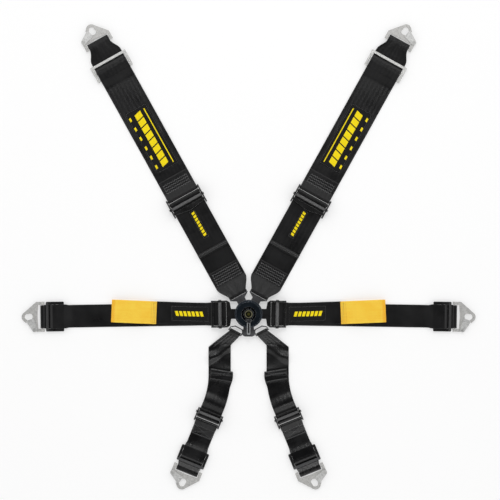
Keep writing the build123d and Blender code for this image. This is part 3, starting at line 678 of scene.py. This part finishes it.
route = [
    (118, RUN_Z + SEWN), (84, RUN_Z + SEWN), (50.5, TONGUE_MID + TONGUE_LOOP),
    (45.3, TONGUE_MID + TONGUE_LOOP), (45.3, TONGUE_MID - TONGUE_LOOP),
    (51, TONGUE_MID - TONGUE_LOOP), (76, RUN_Z), (SHOULDER_TURNS[0], RUN_Z),
    (SHOULDER_TURNS[0], BAR_Z + TURN_LOOP), (288, BAR_Z + TURN_LOOP),
    (276, 6.1), (262, 5.6), (238, RUN_Z + PLY),
] + hem(157, RUN_Z + PLY)
shoulder_lower = webbing(
    "cloth_shoulder_lower", "shoulder", PLANS["shoulder"], route,
    [20, 8, 3.2, 3.2, 8, 20, 3.4, 3.4, 6, 20, 20, 30] + [0.85] * 4,
    shoulder_half, WEBBING, shoulder_lift, SHOULDER_HALF,
)
end, end_radii = hook_end(623.0, 16.0, 682.2, 6.9)
shoulder_upper = webbing(
    "cloth_shoulder_upper", "shoulder", PLANS["shoulder"],
    [(347, RUN_Z + SEWN), (316, RUN_Z + SEWN), (302, BAR_Z + TURN_LOOP),
     (SHOULDER_TURNS[1], BAR_Z + TURN_LOOP), (SHOULDER_TURNS[1], RUN_Z)] + end,
    [20, 6, 3.4, 3.4] + end_radii, shoulder_half, WEBBING,
    shoulder_lift, SHOULDER_HALF,
)


def lap_half(out):
    """The cloth spreads a little in the slider and in the adjuster, up to their rails."""
    slid = smooth_between(out, 396, 404) * (1 - smooth_between(out, 446, 454))
    turned = smooth_between(out, 48, 54) * (1 - smooth_between(out, 82, 92))
    return LAP_HALF + 1.5 * slid + 0.7 * turned


def lap_lift(out, f):
    calm = smooth_between(out, 96, 130) * (1 - smooth_between(out, 375, 400))
    return calm * 0.4 * (1 + math.sin(out / 19.0 - 0.8 * f))


def lap_drift(out):
    """The lap belt's free end lies askew, further off the belt towards its end."""
    return 6.0 * smooth_between(out, 78, 250)


def lap_askew(out, z, side):
    return 0.0, (lap_drift(out) if z > RUN_Z + 0.5 * PLY and 83 < out < 215 else 0.0)


def on_lap_end(out, side):
    return PLANS["lap"](out, side + lap_drift(out))


end, end_radii = hook_end(427.0, 17.0, 455.3, 3.2)
lap_belt = webbing(
    "cloth_lap", "lap", PLANS["lap"],
    [(212, RUN_Z + PLY), (97, RUN_Z + PLY), (83, 5.8), (75, 6.2), (57.5, 6.0 + TURN_LOOP),
     (50.05, 6.0 + TURN_LOOP), (50.05, 6.0 - TURN_LOOP), (60, 6.0 - TURN_LOOP), (84, RUN_Z)] + end,
    [20, 20, 20, 6, 3.4, 3.4, 8, 20] + end_radii, lap_half, WEBBING, lap_lift,
    LAP_HALF, lap_askew,
)


def crotch_lift(out, f):
    """Waves, the edge of the diagonal fold below the tongue, and a swell above the adjuster."""
    calm = smooth_between(out, 50, 70) * (1 - smooth_between(out, 86, 98))
    waves = calm * 0.9 * (1 + math.sin(out / 9.0 + 1.1 * f))
    fold = out - 50.0 - 15.0 * (1 + f)
    crease = smooth_between(fold, -26.0, -6.0) * (1 - smooth_between(fold, -5, 8))
    crease *= smooth_between(out, 8, 20)
    pleats = smooth_between(out, 6, 14) * (1 - smooth_between(out, 30, 50))
    pleats *= math.sin(6.5 * f + 0.6) ** 2
    swell = smooth_between(out + 3 * f, 146, 172) * (1 - smooth_between(out, 174, 188))
    roll = 0.0 if out < 98 else 1.3 * math.exp(-((out - 104) / 4.0) ** 2)
    roll += 1.1 * math.exp(-((out - 117) / 4.0) ** 2)
    return waves + 3.4 * crease + 1.2 * pleats + 5.0 * swell + roll


def crotch_askew(out, z, side):
    """The free end lies on the strap a little turned and to one side."""
    if out < 90 or z < RUN_Z + 0.5 * PLY:
        return 0.0, 0.0
    loose = 1 - smooth_between(out, 108, 136)
    return (-0.16 * side - 2.5) * loose, -5.0 * loose


top = ARC_END


def crotch_half(out):
    """The cloth spreads a little in the adjuster and in the slider, up to their rails."""
    turned = smooth_between(out, top + 12, top + 20) * (1 - smooth_between(out, top + 46, top + 56))
    slid = smooth_between(out, top + 94, top + 102) * (1 - smooth_between(out, top + 142, top + 148))
    return CROTCH_HALF + 0.8 * turned + 1.5 * slid


crotch_upper = webbing(
    "cloth_crotch_upper", "crotch", PLANS["crotch"],
    [(37, RUN_Z + SEWN), (32, RUN_Z + SEWN), (2, TONGUE_MID + TONGUE_LOOP),
     (-3.2, TONGUE_MID + TONGUE_LOOP), (-3.2, TONGUE_MID - TONGUE_LOOP),
     (2.5, TONGUE_MID - TONGUE_LOOP), (26, RUN_Z), (top + CROTCH_TURNS[0], RUN_Z),
     (top + CROTCH_TURNS[0], BAR_Z + TURN_LOOP), (top + 29.4, BAR_Z + TURN_LOOP), (top + 22, 5.9),
     (top + 14, 5.2), (top + 2, RUN_Z + PLY), (99, RUN_Z + PLY), (99, RUN_Z + 2 * PLY),
     (121, RUN_Z + 2 * PLY)],
    [10, 6, 3.2, 3.2, 6, 20, 3.4, 3.4, 3, 8, 10, 6, 0.85, 0.85], crotch_half,
    SATIN, crotch_lift, CROTCH_HALF, crotch_askew,
)


def lower_lift(out, f):
    """The sewn part swells just below the adjuster, and hangs in soft waves further down."""
    out = out - top
    swell = smooth_between(out, 42, 54) * (1 - smooth_between(out, 56, 72))
    wave = smooth_between(out, 70, 80) * (1 - smooth_between(out, 84, 98))
    return 1.8 * swell + 1.2 * wave * (1 + 0.4 * f)


end, end_radii = hook_end(top + 122.5, 15.0, top + 154.0, 6.5)
crotch_lower = webbing(
    "cloth_crotch_lower", "crotch", PLANS["crotch"],
    [(top + 74, RUN_Z + SEWN), (top + 54, RUN_Z + SEWN), (top + 43, BAR_Z + TURN_LOOP),
     (top + CROTCH_TURNS[1], BAR_Z + TURN_LOOP), (top + CROTCH_TURNS[1], RUN_Z)] + end,
    [12, 6, 3.4, 3.4] + end_radii, crotch_half, SATIN, lower_lift, CROTCH_HALF,
)

# pull loop, sewn on the lap belt's free end a little askew
loop_start = PLANS["lap"](203, 4.9)
LOOP = straight_plan(2.4, loop_start)
low = RUN_Z + 2 * PLY


def loop_lift(out, f):
    """The loop's free part is fuller in the middle, and its edges turn down a little."""
    full = smooth_between(out, 22, 50) * (1 - smooth_between(out, 86, 98))
    return full * (1.5 * math.cos(f * math.pi / 2) + 0.7 * math.sin(out / 10.0 + 2 * f))


pull_loop = webbing(
    "cloth_pull_loop", "lap", LOOP,
    [(0, low), (13, low), (24, RUN_Z + PLY), (98.2, RUN_Z + PLY), (98.8, RUN_Z + PLY + 3.9),
     (88, RUN_Z + PLY + 6.6), (34, RUN_Z + PLY + 6.4), (12, low + SEWN), (0.5, low + SEWN)],
    [8, 8, 1.8, 1.6, 12, 30, 12], LAP_HALF, YELLOW, loop_lift,
)

for side_number, side in enumerate(("right", "left")):
    for name, pair in (
        ("webbing_shoulder_lower", shoulder_lower), ("webbing_shoulder_upper", shoulder_upper),
        ("webbing_lap", lap_belt), ("webbing_crotch_upper", crotch_upper),
        ("webbing_crotch_lower", crotch_lower), ("pull_loop", pull_loop),
    ):
        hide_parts(f"{name}_{side}")

# ---- the buckle's spring, which the pin plate presses together ---------------------------------
def coil_spring(name, radius, wire_r, low, high, turns, around=36, ring=8):
    """Helix of round wire between two heights, as a closed tube."""
    points, faces = [], []
    steps = turns * around
    for i in range(steps + 1):
        turn = 2 * math.pi * i / around
        middle = low + wire_r + (high - low - 2 * wire_r) * i / steps
        for k in range(ring):
            w = 2 * math.pi * k / ring
            r = radius + wire_r * math.cos(w)
            points.append((r * math.cos(turn), r * math.sin(turn), middle + wire_r * math.sin(w)))
    for i in range(steps):
        for k in range(ring):
            a, b = i * ring + k, i * ring + (k + 1) % ring
            faces.append((a, a + ring, b + ring, b))
    faces.append(tuple(range(ring)))
    faces.append(tuple(reversed(range(steps * ring, (steps + 1) * ring))))
    return new_mesh(name, points, faces)


PLATE_TOP, ROOF_LOW, PIN_LIFT = 14.0, 21.9, 4.6
spring_low, spring_high = PLATE_TOP + 0.05, ROOF_LOW - 0.05
spring = coil_spring("lock_coil", 8.2, 0.55, spring_low, spring_high, 3)
spring.data.materials.append(INSIDE)
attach(spring, "buckle")
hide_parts("lock_spring")
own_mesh(spring)

# ---- patches, labels and stitching ---------------------------------------------------------
def box_stitch(work, a, b, half, inset=2.5, cross=True):
    """Rectangle of stitches with a cross in it, from distance a to b along the belt."""
    h = half - inset
    work.stitch((a, -h), (b, -h))
    work.stitch((a, h), (b, h))
    work.stitch((a, -h), (a, h))
    work.stitch((b, -h), (b, h))
    if cross:
        work.stitch((a, -h), (b, h))
        work.stitch((a, h), (b, -h))


def zigzag(work, x, half, reach=1.7, step=3.1):
    """Row of slanted stitches across the belt."""
    count = round(2 * half / step)
    for k in range(count):
        lean = reach if k % 2 else -reach
        low, high = -half + k * step, -half + (k + 1) * step
        work.stitch((x - lean, low), (x + lean, high), 5.0, 4.8, 1.0)


def bars(work, a, b, low_side, high_side, count, gap, lean, rise):
    """Row of slanted bars."""
    step = (b - a) / count
    for k in range(count):
        x = a + k * step
        work.slab([(x, low_side), (x + step - gap, low_side),
                   (x + step - gap + lean, high_side), (x + lean, high_side)], rise)


def patch(belt, name, a, b, low_side, high_side, plan=None, inset=2):
    """Sewn-on patch and the stitches round it, inset from its edges."""
    base = Collected(belt, plan)
    base.slab([(a, low_side), (b, low_side), (b, high_side), (a, high_side)], 0.9, 4.0, 1.0)
    base.finish(f"patch_{name}", PATCH)
    TOPS[belt].append((np.array(base.points), base.faces))
    work = Collected(belt, plan)
    a, b, low_side, high_side = a + inset, b - inset, low_side + inset, high_side - inset
    for p, q in (((a, low_side), (b, low_side)), ((a, high_side), (b, high_side)),
                 ((a, low_side), (a, high_side)), ((b, low_side), (b, high_side))):
        work.stitch(p, q, 2.6, 1.9, 0.4)
    work.finish(f"patch_stitches_{name}", THREAD)


stitches = Collected("shoulder")
for x in TONGUE_ROWS:
    zigzag(stitches, x, TONGUE_ROW_HALF)
for x in ADJUSTER_ROWS:
    zigzag(stitches, x, ADJUSTER_ROW_HALF)
for v in (-29, 29):
    stitches.stitch((86, v), (114, v), 3.4, 2.6, 0.65)
    stitches.stitch((317, v), (337, v), 3.4, 2.6, 0.65)
stitches.stitch((160, -34), (160, 34))
stitches.stitch((164, -34), (164, 34))
stitches.finish("stitches_shoulder", THREAD)
patch("shoulder", "shoulder", *SHOULDER_PATCH)
patch("shoulder", "shoulder_label", *SHOULDER_LABEL)
marks = Collected("shoulder")
bars(marks, 374, 506, -9, 7.5, 8, 2.4, 4.5, 0.35)
marks.slab([(373, 15.8), (508, 15.8), (508, 18.3), (373, 18.3)], 0.35)
bars(marks, 376, 518, -23.5, -18.8, 6, 15.0, 1.2, 0.35)
bars(marks, 196, 256, -3.6, 3.6, 8, 1.8, 1.6, 0.3)
marks.finish("marks_shoulder", PRINT)

stitches = Collected("lap", on_lap_end)
stitches.stitch((208, -22), (208, 22))
stitches.finish("stitches_lap", THREAD)
patch("lap", "lap", *LAP_PATCH, on_lap_end)
marks = Collected("lap", on_lap_end)
bars(marks, 99, 162, -5.5, 5.5, 7, 2.2, 3.0, 0.35)
marks.finish("marks_lap", PRINT)
sewn_on = Collected("lap", LOOP)
box_stitch(sewn_on, 2.5, 11.5, 25, 3.0, False)
sewn_on.stitch((7, -22), (7, 22))
sewn_on.finish("stitches_pull_loop", THREAD_YELLOW)

stitches = Collected("crotch")
box_stitch(stitches, 12, 30, 23, 3.5)
box_stitch(stitches, top + 54, top + 72, CROTCH_HALF)
stitches.stitch((103, -22), (103, 22))
stitches.stitch((107, -22), (107, 22))
stitches.finish("stitches_crotch", THREAD)

# ---- floor, light and camera ---------------------------------------------------------------
# part of the floor's white is its own, so that shadows on it stay pale
floor_paint = Paint("floor", Base_Color=(0.56, 0.56, 0.56, 1), Roughness=0.9, Specular_IOR_Level=0.1,
                    Emission_Color=(1, 1, 1, 1), Emission_Strength=0.45)
FLOOR_HALF, FLOOR_Z = 6000, -0.1
floor_corners = [(x * FLOOR_HALF, y * FLOOR_HALF, FLOOR_Z) for x, y in ((-1, -1), (1, -1), (1, 1), (-1, 1))]
floor = new_mesh("floor", floor_corners, [(0, 1, 2, 3)])
floor.data.materials.append(floor_paint.material)

scene = bpy.context.scene
scene.view_settings.view_transform = "Standard"
# white studio, darker straight overhead so that black surfaces keep their depth
scene.world = scene.world or bpy.data.worlds.new("studio")
scene.world.use_nodes = True
sky = scene.world.node_tree
where = sky.nodes.new("ShaderNodeTexCoord")
split = sky.nodes.new("ShaderNodeSeparateXYZ")
fade = sky.nodes.new("ShaderNodeValToRGB")
sky.links.new(where.outputs["Generated"], split.inputs[0])
sky.links.new(split.outputs[2], fade.inputs[0])
sky.links.new(fade.outputs[0], sky.nodes["Background"].inputs[0])
for element, (height, grey) in zip(fade.color_ramp.elements, ((0.50, 1.0), (0.93, 0.05))):
    element.position = height
    element.color = (grey, grey, grey, 1)
sky.nodes["Background"].inputs[1].default_value = 1.32


def softbox(name, place, size, power):
    light = bpy.data.lights.new(name, "AREA")
    light.shape = "SQUARE"
    light.size = size
    light.energy = power
    lamp = bpy.data.objects.new(name, light)
    lamp.location = place
    lamp.rotation_euler = (Vector(place) - Vector((0, 0.1, 0))).to_track_quat("Z", "Y").to_euler()
    lamp.visible_camera = False
    scene.collection.objects.link(lamp)


softbox("key", (0.0, 1.92, 3.0), 0.9, 26)
softbox("fill", (0.3, -1.9, 3.0), 0.9, 8)

# straight down, from DISTANCE above the webbing, over a view that is VIEW_WIDE across, in metres
DISTANCE, VIEW_WIDE = 2.6, 1.1

camera = bpy.data.objects.new("camera", bpy.data.cameras.new("camera"))
camera.data.sensor_width = 36.0
camera.data.lens = camera.data.sensor_width * DISTANCE / VIEW_WIDE
camera.location = (0.003, 0.140, DISTANCE + 0.01)
camera.data.clip_end = 100.0
scene.collection.objects.link(camera)
scene.camera = camera
